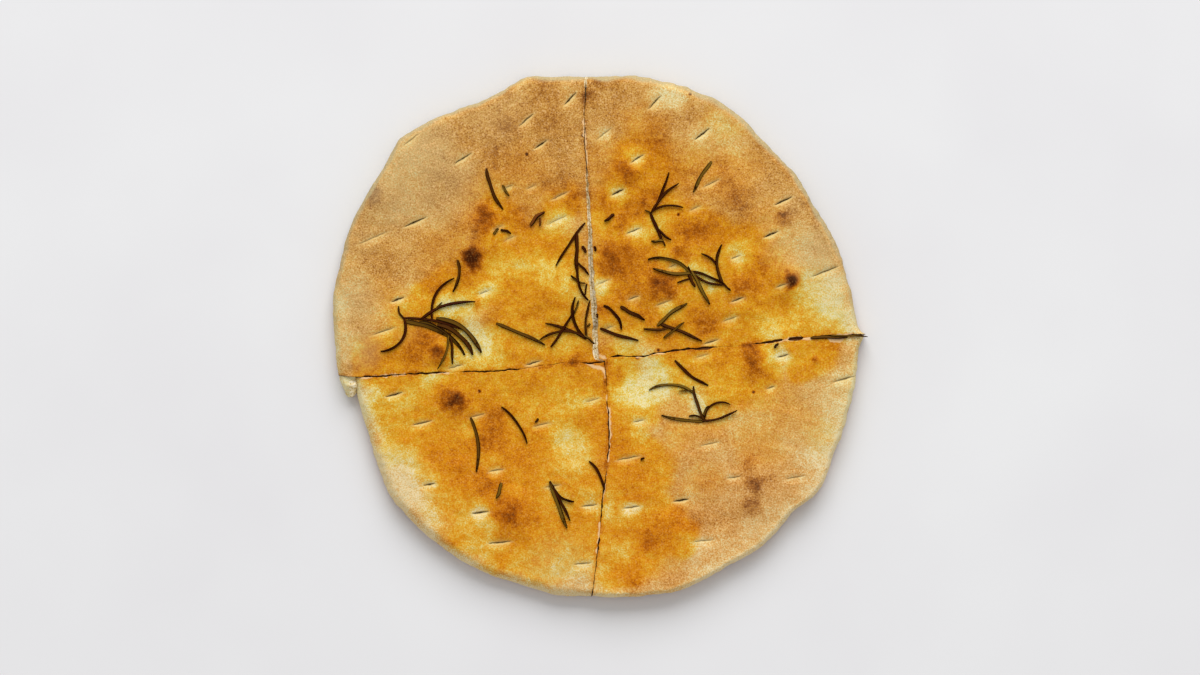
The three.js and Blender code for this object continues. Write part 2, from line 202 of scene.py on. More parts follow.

# How the crust browned, from 0 for pale dough to 1 for burnt: x, y, radius, more or less than the rest.
# One toasted mark, at x 132 and y 5, is painted shadow of a leaf.
EVEN_TOAST = 0.475
TOASTED = [
    (-48, 132, 14, .08), (-29, 139, 14, .18), (-66, 129, 14, .06), (5, 130, 20, .11), (-22, 122, 15, .08),
    (-3, 141, 13, .2), (-8, 83, 9, .2), (-25, 89, 14, .14), (5, 94, 10, .1), (-56, 94, 7, .1),
    (-65, 69, 10, .4), (-70, 61, 9, .28), (-42, 61, 9, .16), (-71, 46, 10, .62), (-75, 33, 9, .2),
    (-98, -4, 22, .24), (-88.5, -10.5, 8, .4), (-88, -31, 9, .18), (-80.5, -38.5, 9, .44),
    (-61, -56, 17, .18), (-109, -63, 11, .12), (-38, -22, 8, .12), (-1, -85, 7, .14), (-76, -92, 12, .12),
    (-78, -73, 9, .1), (-66, -85, 11, .1), (-51, -99, 13, .28), (-14, -110, 17, .1), (-52, -131, 10, .08),
    (-34, -28, 11, .1), (18, 93, 13, .26), (38, 104, 16, .08), (25, 75, 11, .2), (15, 66, 9, .22),
    (8, 51, 13, .16), (11, 42, 16, .22), (33, 46, 15, .1), (26, 8, 9, .26), (44, 9, 8, .26),
    (70, 20, 11, .1), (51, 49, 9, .16), (37, 27, 12, .25), (25, 30, 21, .08), (53, 63, 17, .14),
    (65, 58, 15, .12), (77, 80, 20, .18), (107.5, 66.5, 7, .52), (122, 71, 13, .16), (111, 33.5, 9, .68),
    (92, 41, 9, .1), (102, 98, 22, .12), (83, 29, 14, .16), (62, 9, 13, .25), (91, -9, 13, .24),
    (93, -19, 13, .24), (137.5, -8, 6, .14), (124.5, -13.4, 3, .4), (87, -73, 9, .2), (91, -83.5, 8, .36),
    (88, -96.5, 8, .42), (90, -80, 38, .05), (66, -82, 14, .08), (65, -124, 12, .18), (93, -87, 12, .08),
    (25, -93, 9, .1), (38, -108, 15, .15), (53, -105, 10, .1), (28, -117, 9, .15), (14, -114, 13, .1),
    (-12, -15, 11, .2), (5, -16, 6, .1), (20, -143, 26, .06), (-124, -10, 10, .12), (-124, 47, 18, .1),
    (38, -2, 15, .15), (-125, 77, 9, .24), (-28, 25, 13, .1), (-62, -74, 20, .13), (-54, -80, 12, .1),
    (30, -144, 14, .05), (62, -104, 12, .16), (99, -88, 12, .08), (82, -37, 12, .1), (-68, 90, 14, .1),
    (-38, 92, 14, .08), (-14, 74, 10, .12), (-46, 70, 10, .12), (4, 77, 9, .14), (29, 77, 10, .1),
    (19, 52, 9, .12), (83, 58, 12, .1), (79, 26, 10, .12), (3, 13, 8, .2), (-118, 32, 12, .1),
    (122, -19, 9, .14), (94, -13, 8, .08), (-57, 12, 10, .2), (-13, -23, 12, .12), (-46, 47, 9, .12),
    # (132, 5, 6, .2) is painted shadow of the rosemary leaf in the right cut, on the crust beside it.
    (-64, 104, 18, .07), (132, 5, 6, .2), (49, 48, 8, .2), (-69, 19, 3, .25), (2, -71, 8, .12),
    (0, -138, 9, .14), (26, -143, 13, .12), (79, 41, 8, .12), (69, 63, 9, .1), (-40, 134, 9, .1),
    (-52, 118, 11, .1), (-66, -92, 10, .08), (8, -4, 8, .1), (-17, -10, 9, .1), (40, 112, 45, .06),
    (70, 85, 45, .06), (-25, 122, 40, .06), (-58, 112, 26, .12), (-54, 97, 17, .14), (-40, 78, 24, .08),
    (-89, 54, 28, .1), (-92, 32, 13, .12), (25, -85, 22, .08), (73, -97, 12, .05),
]
PALE = [
    (-106, 106, 22, -.1), (-115, 90, 22, -.1), (-92, 65, 14, -.15), (-21, 66, 14, -.25),
    (-48, 41, 14, -.25), (-30, 38, 15, -.25), (-19, 29, 10, -.2), (-8, 20, 9, -.22), (-16, 12, 9, -.12),
    (-83, 16, 12, -.28), (-65, 27, 12, -.2), (-70, 2, 14, -.17), (-63, -5, 16, -.22), (-72, 9, 11, -.1),
    (0, 29, 13, -.3), (22, 60, 10, -.25), (10, 82, 11, -.25), (21, 101, 10, -.25), (3, 115, 11, -.15),
    (54, 41, 12, -.28), (80, 46, 13, -.25), (39, 18, 9, -.2), (26, 4, 10, -.15), (43, 141, 17, -.42),
    (72, 119, 21, -.21), (61, 114, 13, -.12), (110, 56, 17, -.12), (129, 27, 23, -.35),
    (136, 12, 19, -.35), (146, 5, 13, -.2), (97, 4, 15, -.19), (102, -12, 14, -.3), (30, -23, 16, -.44),
    (24, -31, 12, -.38), (17, -7, 13, -.3), (13, -33, 10, -.3), (33, -32, 13, -.35), (53, -34, 13, -.25),
    (24, -51, 13, -.16), (136, -29, 25, -.2), (129, -59, 26, -.2), (125, -77, 19, -.2),
    (-95, -25, 12, -.32), (-34, -46, 13, -.12), (-32, -68, 11, -.1), (-8, -38, 13, -.14),
    (-4, -62, 9, -.12), (-55, -22, 9, -.1), (-92, -106, 14, -.12), (-12, -79, 8, -.16), (4, -99, 8, -.24),
    (-106, -51, 11, -.18), (-89, -97, 17, -.16), (-14, -36, 24, -.12), (-18, -4, 12, -.22),
    (-132, -36, 17, -.34), (-126, -51, 14, -.14), (-94, -100, 12, -.1), (-111, -36, 13, -.16),
    (-111, -76, 23, -.4), (-120, -48, 11, -.1), (-105, -89, 19, -.26), (-119, -59, 15, -.16),
    (-19, -53, 15, -.22), (-13, -66, 17, -.28), (-57, -78, 8, -.12), (-68, -102, 14, -.3),
    (-65, -119, 18, -.2), (-3, -92, 13, -.2), (20, -98, 9, -.26), (-15, -132, 24, -.26),
    (-40, -128, 13, -.18), (16, -122, 10, -.12), (62, -128, 26, -.26), (100, -104, 24, -.14),
    (88, -118, 16, -.1), (11, -117, 10, -.16), (-28, -134, 15, -.14), (32, -133, 14, -.14),
    (2, -128, 8, -.14), (-27, -117, 15, -.08), (52, 106, 14, -.14), (34, 147, 16, -.2),
    (-44, 144, 14, -.15), (-88, 126, 14, -.12), (-76, -12, 9, -.12), (-60, 28, 10, -.12),
    (-30, 60, 9, -.12), (1, 46, 8, -.14), (-14, 34, 8, -.1), (-52, 107, 10, -.1), (-84, 74, 14, -.1),
    (-66, 9, 15, -.1), (-59, -1, 12, -.08), (-68, -15, 12, -.14), (41, 48, 8, -.14), (34, 64, 9, -.16),
    (53, -90, 10, -.1), (53, 112, 13, -.1), (25, 115, 9, -.1), (63, 30, 10, -.32), (2, 66, 8, -.12),
    (-15, 137, 9, -.1), (-40, -2, 14, -.1), (-81, 20, 12, -.16), (78, -68, 62, -.09), (113, 8, 16, -.18),
    (99, 18, 12, -.09), (124, 49, 12, -.1), (120, 30, 12, -.08), (146, -3, 8, -.1), (59, -42, 10, -.26),
    (-55, -13, 9, -.14), (-71, -53, 9, -.12), (-57, -71, 9, -.12), (-18, -102, 8, -.14),
    (50, 134, 9, -.14), (27, 121, 10, -.12), (28, -12, 10, -.14), (119, 49, 11, -.12),
    (-33, -5, 10, -.12), (-102, 30, 9, -.14), (-108, 19, 9, -.12), (105, -79, 9, -.1), (136, 18, 14, -.1),
    (-44, -29, 20, -.08), (-122, 40, 30, -.05), (-144, 45, 14, -.04), (-143, 20, 16, -.22),
    (-141, -6, 14, -.26), (2, -143, 14, -.15),
]
# Specks burnt onto the crust: x, y
SPECKS = [
    (53.3, 137.7), (46.5, 69.3), (-66.4, -31.1), (89.2, -31.6), (23.1, -12.3), (35.1, -7.7),
    (-39.6, 103.5), (-7.7, 114.3),
]
SPECK_RADIUS = 1.6
SPECK_TOAST = 0.6
# How much paler or browner it baked round a slit, at the rim, low on the wall and at the wall's foot, and how
# much browner the crust is along a cut. Against the lamp behind, the front of the rim's outer edge is made
# paler as painted light and the back rim browner as painted shade; at the back the wall is paler.
SLIT_PALER = 0.2
RIM_PALER = 0.14
BACK_RIM_PAINTED_SHADE = 0.2
FRONT_EDGE_PAINTED_LIGHT = 0.2
PALEST = 0.1
WALL_BROWNER = 0.34
BACK_WALL_PALER = 0.1
FOOT_BROWNER = 0.4
CUT_BROWNER = 0.22
# Where bench flour still lies on the crust and greys it: x, y, radius, how much
DUSTED = [
    (-92, 88, 30, .5), (132, 46, 26, .5), (-104, 104, 32, .62), (-118, 86, 32, .6), (-138, 58, 20, .25),
    (-142, 20, 22, .44), (-136, -6, 18, .45), (-60, 128, 26, .2), (110, 52, 22, .15), (136, 22, 24, .24),
    (113, 75, 12, .2), (-109, 4, 12, .12), (132, -46, 30, .15), (-114, -82, 24, .2), (-20, -134, 26, .2),
    (100, -104, 30, .12),
]

# Dried rosemary leaves: x and y of the foot, heading, length, turn along it, width and, where it isn't left
# to chance, how green (1) or brown (0.2) the leaf dried. 0 is a burnt flake.
SPRIGS = {
    "rosemary_left": [
        (-109.5, 10.5, 0, 38, -24, 1.8, 0.2), (-91, 10.4, -6, 34, -63, 3, 0.8),
        (-90.3, 6.5, -8, 27.8, -65, 3, 0.5), (-100.5, 8, -8, 33, -56, 3.6, 0.9),
        (-83.5, 2, -76, 18, -17, 1.8), (-84, 2, -87, 22, -40, 1.5, 0.9), (-108.5, 8.5, -9, 28, -21, 3, 0.8),
        (-93, 9, 104, 29.5, -82, 1.8, 0.15), (-99.5, 10, 39, 33, -43, 2.1, 0.15),
        (-109, 10, 146, 8.5, -63, 1.4), (-109.7, 11.1, -65, 28, -117, 1.9, 0.15),
        (-91.5, 15.5, 45, 5.5, 0, 1.0)],
    "rosemary_centre": [
        (-6, -1.5, 144, 25, 30, 1.9), (-6, -1, 144, 28.5, 77, 1.7), (-26, -6, 52, 24.5, 10, 1.8),
        (-6, -1.5, 141, 26.5, -74, 2.3), (-5.5, -1.5, 99, 22.5, -28, 1.6), (-7, 0.5, -28, 7.5, -23, 1.7),
        (-12.5, 13, 70, 8, 5, 1.3)],
    "rosemary_beside_cut": [
        (-6.5, 64.5, -130, 29.5, 12, 1.8), (-11, 58.5, -93, 23, 6, 2.6), (-10.5, 39, -102, 20.5, 60, 1.8),
        (-10.8, 42, -42, 9.5, -10, 1.6), (-9.6, 30.5, 138, 6.5, 5, 1.6), (-9.5, 31, -28, 3.5, 25, 1.1)],
    "rosemary_back_right": [
        (31, 70, 57, 25.5, 19, 1.8), (31, 70, 65, 23.5, -36, 1.8), (30.5, 70, 41, 20, -63, 1.5),
        (30.5, 70.5, -69, 18, 3, 2.3), (34.5, 61.5, -50, 10.5, 19, 1.6), (38, 54.5, -170, 7, -14, 1.9),
        (37.5, 55.5, -82, 4.5, 25, 1.1), (31.5, 70, 162, 4.5, -12, 1.1)],
    "rosemary_right": [
        (53.5, 35.5, 125, 27.5, 73, 2.3), (54.5, 36, 187, 23, -27, 2.4, 0.9), (54, 37, -60, 21.5, -3, 2.4, 1),
        (52, 35.5, -59, 8.5, -6, 2.1), (53.5, 37, -10, 21, -22, 1.8), (55.5, 35, -38, 18.5, 39, 1.6),
        (72.5, 29, 125, 24.5, -63, 2.1), (69, 39.5, 120, 12.5, 44, 1.5), (72, 29.5, -33, 5.5, -16, 1.5),
        (54, 33, -164, 8.5, 0, 1.3), (54, 35.5, 120, 5, -12, 1.1)],
    "rosemary_right_low": [
        (34.5, 6, 48, 21.5, -22, 2.5, 0.9), (41, 5, -164, 14.5, -27, 1.8), (38, -1, 40, 15, -5, 1.6),
        (35.5, 7.5, -20, 26.5, -5, 2.3)],
    "rosemary_front": [
        (-26.5, -82, -74, 28.5, 8, 2.7, 1), (-26.5, -82.5, -59, 25, -7, 1.9),
        (-23.5, -87, -65, 13.5, 66, 1.8)],
    "rosemary_front_right": [
        (61, -48.3, 180, 24.5, -17, 2.1, 0.9), (61, -47.3, 138, 9.3, 58, 1.3),
        (61.8, -47.8, 124, 21, -30, 2.1), (56.5, -33.5, 135, 29, 77, 1.9, 1),
        (61.7, -46, 88, 19.5, -122, 1.4), (60, -48, 3, 21, 28, 1.6), (61.5, -45.5, 111, 7, -83, 1.1),
        (54.6, -30.6, 183, 8, 0, 0.8)],
    "rosemary_in_cut": [(121.5, -0.9, 4, 21, -6, 2, 0.7), (133, 0.2, 5, 21, -12, 1.3, 0.9)],
}
LOOSE_LEAVES = {
    "back_right": [
        (65.5, 99.5, -129, 20.5, 16, 2.3, 1), (10, 69.5, -140, 7, -7, 2.3, 0.2),
        (13.5, 17, -29, 16, 0, 2.6, 0.3), (4, 17.5, -20, 18, -67, 2.2, 0.15), (2, 4.6, -22, 23, 9, 2.2, 0.2),
        (-1.2, 51.3, -75, 3, 0, 1.7, 0.15), (0.2, 13, -80, 2.5, 0, 1.4, 0.15)],
    "back_left": [
        (-62.5, 95.5, -84, 25.5, 32, 2.3), (-53.5, 86, -60, 7.5, 5, 1.6), (-37.5, 63, 64, 11.5, -40, 2.8, 0),
        (-58.5, 58, 55, 4.5, -13, 1.8), (-54.5, 60.5, -3, 6.5, -35, 1.8), (-79, 43.5, -72, 19, -52, 2.1),
        (-57, 7.5, -20, 30.5, -8, 2.3), (-8, 51.5, -67, 4.5, 14, 2.1, 0.15), (-32, 67.5, -87, 5, -11, 1.4, 0),
        (-5.5, 30, -99, 7, 0, 1.1), (-3.6, 7.4, -130, 2.5, 0, 1.4)],
    "front_left": [
        (-71.5, -46, -66, 31.5, -36, 2.3), (-54, -40, -35, 26, -40, 1.6), (-54, -83, -99, 9.5, -19, 2.2),
        (-4.2, -70.8, -41, 19, -42, 1.9, 0.15), (-33, -46.5, -123, 3, -16, 1.5)],
    "front_right": [
        (44.5, -13.5, -51, 24, 28, 2.1), (25, -70, 21, 2.5, 21, 1.5, 0.15),
        (101, -6.5, 55, 3.5, -13, 1.7, 0.15)],
}
LEAF_THICKNESS = 1.5
# A leaf cut across: rolled under at its edges and grooved, in half widths and half thicknesses
LEAF_SECTION = np.array([
    (-1, -.15), (-.88, .5), (-.5, .92), (-.12, .6), (.12, .6), (.5, .92), (.88, .5), (1, -.15), (.72, -.8),
    (.2, -.5), (-.2, -.5), (-.72, -.8)])
# Mesh step along a leaf, how far a sprig's leaves and loose ones lie off the crust, and how far leaves that
# cross lie over each other
LEAF_STEP = 1.1
SPRIG_LIFT = 0.42
LOOSE_LIFT = 0.28
LAYER = 0.26
# Seeds of the leaves' chance bends: the first sprig's, the first quarter's loose ones, and the step between
SPRIG_SEED = 100
LOOSE_SEED = 400
SEED_STEP = 20

# The scrap of rim at the left end of the cut: x and y of its foot, heading, length, turn, width
TORN_RIM = (-140.6, -16, -92, 18.5, 6, 9.6)
TORN_RIM_HEIGHT = 12
TORN_RIM_ROUNDING = 3
TORN_RIM_STEPS = 48


# Random but repeatable unevenness

UNEVEN_CELLS = 128


def uneven(x, y, pitch, seed):
    """Smooth rises and falls between -1 and 1, about a pitch apart."""
    table = np.random.default_rng(seed).uniform(-1, 1, (UNEVEN_CELLS, UNEVEN_CELLS))
    turn = seed * 0.7
    u = (x * math.cos(turn) - y * math.sin(turn)) / pitch
    v = (x * math.sin(turn) + y * math.cos(turn)) / pitch
    i, j = np.floor(u).astype(int), np.floor(v).astype(int)
    a, b = u - i, v - j
    a, b = a * a * (3 - 2 * a), b * b * (3 - 2 * b)
    i, j, next_i, next_j = (cell % UNEVEN_CELLS for cell in (i, j, i + 1, j + 1))
    low = table[i, j] * (1 - a) + table[next_i, j] * a
    high = table[i, next_j] * (1 - a) + table[next_i, next_j] * a
    return low * (1 - b) + high * b


def rough(x, y, pitch, seed):
    """The same at three ever finer pitches, as torn or baked dough has."""
    return sum(uneven(x, y, pitch / 2 ** k, seed + k) / 2 ** k for k in range(3)) / 1.75


def wandered(x, y, sways, seed):
    """Places pushed about so that round marks get ragged edges. Each sway has a reach and a pitch."""
    moved_x, moved_y = x, y
    for k, (reach, pitch) in enumerate(sways):
        moved_x = moved_x + reach * uneven(x, y, pitch, seed + k)
        moved_y = moved_y + reach * uneven(x, y, pitch, seed + len(sways) + k)
    return moved_x, moved_y


def ease(low, high, value):
    """Rises softly from 0 at low to 1 at high, which may be the smaller of the two."""
    t = np.clip((value - low) / (high - low), 0, 1)
    return t * t * (3 - 2 * t)


def mound(x, y, middle_x, middle_y, radius):
    """1 in the middle, falling softly to 0 at the radius."""
    near = ((x - middle_x) ** 2 + (y - middle_y) ** 2) / radius ** 2
    return np.clip(1 - near, 0, 1) ** 2


def marked(value, x, y, marks, gain=1):
    """A value of the crust with marks added, each by its amount in the middle and nothing at its radius."""
    for middle_x, middle_y, radius, amount in marks:
        value = value + gain * amount * mound(x, y, middle_x, middle_y, radius)
    return value


def dome(from_edge, width):
    """How an edge rounds off at the top over that width: from 0 at its outside to 1 at full height."""
    return np.sqrt(1 - (1 - np.clip(from_edge / width, 0, 1)) ** ROUNDNESS)


# Lines

LINE_STEPS = 60


def smooth_line(knots):
    """A smooth line through the knots: its points and their distance along it."""
    p = np.asarray([knots[0], *knots, knots[-1]], float)
    t = np.linspace(0, 1, LINE_STEPS, endpoint=False)[:, None]
    spans = []
    for before, start, end, after in zip(p, p[1:], p[2:], p[3:]):
        leave, arrive = (end - before) / 2, (after - start) / 2
        spans.append((2 * start - 2 * end + leave + arrive) * t ** 3
                     + (3 * end - 3 * start - 2 * leave - arrive) * t ** 2 + leave * t + start)
    points = np.vstack(spans + [p[-1:]])
    steps = np.linalg.norm(np.diff(points, axis=0), axis=1)
    return points, np.concatenate([[0], np.cumsum(steps)])


def along_line(line, distance):
    """The places at that distance along a smooth line."""
    points, reach = line
    return np.stack([np.interp(distance, reach, points[:, k]) for k in (0, 1)], -1)


def nearest(points, x, y):
    """Distance from each place to the nearest of a line's points."""
    gap = np.full(x.shape, np.inf)
    for px, py in points:
        gap = np.minimum(gap, (x - px) ** 2 + (y - py) ** 2)
    return np.sqrt(gap)


def bent_line(foot_x, foot_y, heading, length, turn, share):
    """A line that bends evenly: x, y and heading at each share of its length."""
    start, half_turn = math.radians(heading), math.radians(turn) * share / 2
    chord = length * share * np.sinc(half_turn / math.pi)
    x = foot_x + chord * np.cos(start + half_turn)
    y = foot_y + chord * np.sin(start + half_turn)
    return x, y, start + 2 * half_turn


# The crust

def crust_height(x, y):
    """Slow waves and swells of the dough, with the lumps and blisters of its baked skin on them."""
    dough = THICKNESS + 0.5 * np.sin(x / 19 + 1) + 0.5 * np.sin(y / 16 - x / 60)
    skin = 0.45 * rough(x, y, 17, 11) + 0.22 * uneven(x, y, 5.5, 15) + 0.09 * uneven(x, y, 2.3, 16)
    return marked(dough, x, y, SWELLS) + marked(skin, x, y, TOASTED, BLISTER_RISE)


def slit_turn(y):
    """How a slit lies: turned a little, and more so toward the back of the round."""
    return math.radians(18 + 0.1 * y + 0.35 * max(0, y - 90))


def slit_marks(x, y):
    """What the slits do to the crust: how deep it dips, how pale the dough stayed, and each place's distance
    along and across the nearest slit, from which the crack's painted shade and the lip are drawn."""
    depth, pale, opening = np.zeros((3, *x.shape))
    nearest_run, nearest_side = np.full((2, *x.shape), float(NO_SLIT))
    closest = np.full(x.shape, np.inf)
    for middle_x, middle_y, length, opened, halo in SLITS:
        close = np.hypot(x - middle_x, y - middle_y) < length + SLIT_REACH
        dx, dy = x[close] - middle_x, y[close] - middle_y
        turn = slit_turn(middle_y)
        run = (dx * math.cos(turn) + dy * math.sin(turn)) / (length / 2)
        side = dy * math.cos(turn) - dx * math.sin(turn)
        lens = np.sqrt(np.clip(1 - run ** 2, 0, 1))
        half = SLIT_WIDTH / 2 * (0.4 + 0.6 * opened) * lens + 1e-6
        # The side toward the front slopes down to the crack, the other stands steep
        slope = np.where(side < 0, (side + 2.2 * half) / (2.2 * half), (half - side) / half)
        round_it = (run * length / (length + 5)) ** 2 + ((side + 0.7) / (2.4 + 2.4 * halo)) ** 2
        soft = np.clip(1 - round_it, 0, 1) ** 1.3
        depth[close] += SLIT_DEPTH * opened * lens ** 0.5 * np.clip(slope, 0, 1) + 0.6 * soft
        pale[close] = np.maximum(pale[close], (0.35 + 0.65 * halo) * soft)
        gap = np.hypot(np.maximum(np.abs(run) - 1, 0) * length / 2, side)
        mine = gap < closest[close]
        for kept, found in ((nearest_run, run), (nearest_side, side), (closest, gap)):
            kept[close] = np.where(mine, found, kept[close])
        opening[close] = np.where(mine, opened * ease(4, 2, gap), opening[close])
    return depth, dict(slit_pale=pale, slit_run=nearest_run, slit_side=nearest_side, slit_open=opening)


def oil_cover(x, y):
    """How far the oil reached, with the ragged edge it soaks to."""
    soaked_x, soaked_y = wandered(x, y, ((5, 19), (2.5, 7)), 21)
    dry = np.ones(x.shape)
    for spots, edge, strength in ((OIL_POOLS, (1.15, 0.65), 1), (OIL_FILMS, (1.2, 0.3), FILM_STRENGTH)):
        for middle_x, middle_y, radius in spots:
            gap = np.hypot(soaked_x - middle_x, soaked_y - middle_y) / radius
            dry = dry * (1 - strength * ease(*edge, gap))
    return 1 - dry


def browning(x, y):
    """How brown the crust baked, with its specks and its ragged darker and paler patches, and browner
    toward the back as painted shade.
    """
    # The 0.0002 * y term is painted shade: the crust grows browner toward the back, which the lamp behind
    # lights more.
    toast = EVEN_TOAST + 0.0002 * y + 0.09 * rough(x, y, 24, 35) + 0.14 * rough(x, y, 9, 38)
    toast = marked(toast, x, y, [(*place, SPECK_RADIUS, SPECK_TOAST) for place in SPECKS])
    return marked(toast, *wandered(x, y, ((3.2, 11), (1.8, 4.5)), 31), TOASTED + PALE)


def flour_left(x, y):
    """How thickly bench flour still lies on the crust."""
    dust = np.zeros(x.shape)
    for middle_x, middle_y, radius, amount in DUSTED:
        dust = np.maximum(dust, amount * mound(x, y, middle_x, middle_y, radius) ** 0.6)
    return np.clip(dust * (1 + 0.5 * rough(x, y, 12, 44)), 0, 1)


def torn_skin(places, from_crossing, from_cut, x, y):
    """Where the crust's skin tore off along a cut and the crumb under it shows."""
    torn = np.zeros(x.shape)
    ragged = from_cut + 0.6 * uneven(x, y, 2.4, 46) + 0.4 * uneven(x, y, 1.1, 47)
    for middle, length, width in places:
        reach = 0.35 + width * np.sqrt(np.clip(1 - ((from_crossing - middle) / length) ** 2, 0, 1))
        here = np.abs(from_crossing - middle) < length
        torn = np.maximum(torn, ease(reach + 0.15, reach - 0.15, ragged) * here)
    return torn


def lifted_skin(strips, x, y):
    """Narrow strips where the skin lifted away from a cut, widest in their middle."""
    torn = np.zeros(x.shape)
    fray = 0.35 * uneven(x, y, 1.7, 48)
    for *knots, width in strips:
        points = smooth_line(knots)[0][::4]
        for k, (px, py) in enumerate(points):
            half = width / 2 * math.sin(math.pi * (0.08 + 0.9 * k / len(points)))
            torn = np.maximum(torn, ease(half + 0.2, half - 0.2, np.hypot(x - px, y - py) + fray))
    return torn


# The cuts

def cut_line(name):
    """The smooth line of a cut, from the crossing to beyond the rim."""
    return smooth_line([CROSSING, *CUTS[name]["line"]])


def cut_side(name, reach, turn):
    """The side of a cut that a quarter sees. turn is which way the quarter lies from it."""
    line = cut_line(name)
    reach = min(reach, line[1][-1])
    toward = along_line(line, reach) - along_line(line, 0)
    toward = toward / np.linalg.norm(toward)
    inward = turn * np.array((-toward[1], toward[0]))
    return dict(name=name, line=line, reach=reach, inward=inward, turn=turn, seed=len(name) * 10 + turn)


def half_width(name, rise):
    """Half the plain width of a cut at that share of the crust's height."""
    top, base = CUTS[name]["width"]
    return (base + (top - base) * rise) / 2


def pale_crumb(name, distance):
    """How pale the crumb in a cut is; where it isn't pale it is painted dark as the cut's shade."""
    pale = np.zeros(np.shape(distance))
    for middle, length, amount in CUTS[name]["pale"]:
        pale = np.maximum(pale, amount * ease(1, 0.6, np.abs(distance - middle) / length))
    return pale


def cut_edge(side, other, along, rise):
    """Points on the quarter's edge of a cut, frayed by the knife and gaping in places."""
    cut, turn, seed = CUTS[side["name"]], side["turn"], side["seed"]
    along = np.asarray(along, float)
    distance = along * side["reach"]
    points = along_line(side["line"], distance)
    waver = turn * (0.5 * uneven(distance, 0, 7, 62) + 0.25 * uneven(distance, 0, 2.8, 63))
    if rise <= BRIDGE_RISE:
        half = other_half = SPLIT_HALF
        width = 2 * SPLIT_HALF + turn * 0.5 * rough(distance, 20 * rise, 7, 61)
    else:
        half, other_half = half_width(side["name"], rise), half_width(other["name"], rise)
        down = 14 * rise
        fray = 0.24 * uneven(distance, down, 2.6, seed) + 0.2 * uneven(distance, down, 1.1, seed + 3)
        for middle, length, extra in cut["gapes"]:
            fray = fray + extra / 2 * rise * np.clip(1 - ((distance - middle) / length) ** 2, 0, 1)
        width = np.maximum(half + fray, NARROWEST_HALF)
    for middle, length in cut["closed"]:
        width = width + (CLOSED_HALF - width) * ease(1, 0.75, np.abs(distance - middle) / length)
    width = half + (width + waver - half) * ease(0, 0.02, along)
    return points + side["inward"] * width[..., None] + other["inward"] * other_half * (1 - along)[..., None]


# Meshes

def in_scene(name, data):
    """A new object with that data, put into the scene."""
    made = bpy.data.objects.new(name, data)
    bpy.context.scene.collection.objects.link(made)
    return made


def mesh_piece(name, node, points_mm, faces, values, materials, material_of_face=None):
    """A smooth-shaded mesh in the part's own frame, with its named values on its points. It rides on the
    part's one body, in place of the node."""
    mesh = bpy.data.meshes.new(name)
    moved = (np.asarray(points_mm) - np.array((*ORIGIN, 0))) * MM
    mesh.from_pydata(moved.tolist(), [], faces)
    for label, value in values.items():
        mesh.attributes.new(label, "FLOAT", "POINT").data.foreach_set("value", np.asarray(value, np.float32))
    for material in materials:
        mesh.materials.append(material)
    if material_of_face is not None:
        mesh.polygons.foreach_set("material_index", np.asarray(material_of_face, np.int32))
    mesh.polygons.foreach_set("use_smooth", np.ones(len(mesh.polygons), bool))
    mesh.update()
    piece = in_scene(name, mesh)
    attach(piece, "root")
    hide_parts(node)


def band(upper, lower):
    """Faces between two loops of points."""
    return np.stack([upper, lower, np.roll(lower, -1), np.roll(upper, -1)], -1).tolist()


def tube_faces(steps, corners):
    """Faces of a tube with that many corners round it, closed at both ends."""
    ring = np.arange(corners)
    faces = []
    for k in range(steps):
        faces += band(k * corners + ring, (k + 1) * corners + ring)
    return faces + [ring.tolist(), (steps * corners + ring[::-1]).tolist()]


# One quarter

def quarter_grid():
    """The square grid that a quarter's crust is bent from, with its tip at one corner: how far out each point
    lies and how far round from cut to cut, the points' numbers, and the loop of them round the outside."""
    steps = np.linspace(0, 1, RINGS + 1)
    across, along = (axis.ravel() for axis in np.meshgrid(steps, steps, indexing="ij"))
    ring = np.maximum(across, along)
    larger = np.maximum(ring, 1e-9)
    sweep = np.where(across >= along, along / larger / 2, 1 - across / larger / 2)
    sweep = np.where(ring == 0, 0.5, sweep)
    numbers = np.arange(len(ring)).reshape(RINGS + 1, RINGS + 1)
    loop = np.concatenate([numbers[:, 0], numbers[-1, 1:], numbers[-2::-1, -1], numbers[0, -2:0:-1]])
    return ring, sweep, numbers, loop


def quarter_faces(numbers, loop):
    """Faces of the crust, of the wall's rows below it and of the base, and the material of each."""
    quads = np.stack([numbers[:-1, :-1], numbers[1:, :-1], numbers[1:, 1:], numbers[:-1, 1:]], -1)
    faces = quads.reshape(-1, 4).tolist()
    kinds = [np.full(len(faces), CRUST)]
    on_cut = np.repeat([True, False, True], [RINGS, 2 * RINGS, RINGS])
    upper = loop
    for row in range(len(WALL_RISES)):
        lower = numbers.size + row * len(loop) + np.arange(len(loop))
        faces += band(upper, lower)
        kinds.append(np.where(on_cut & (row > 0), CRUMB, CRUST))
        upper = lower
    faces.append(upper[::-1].tolist())
    return faces, np.concatenate([*kinds, [BASE]])


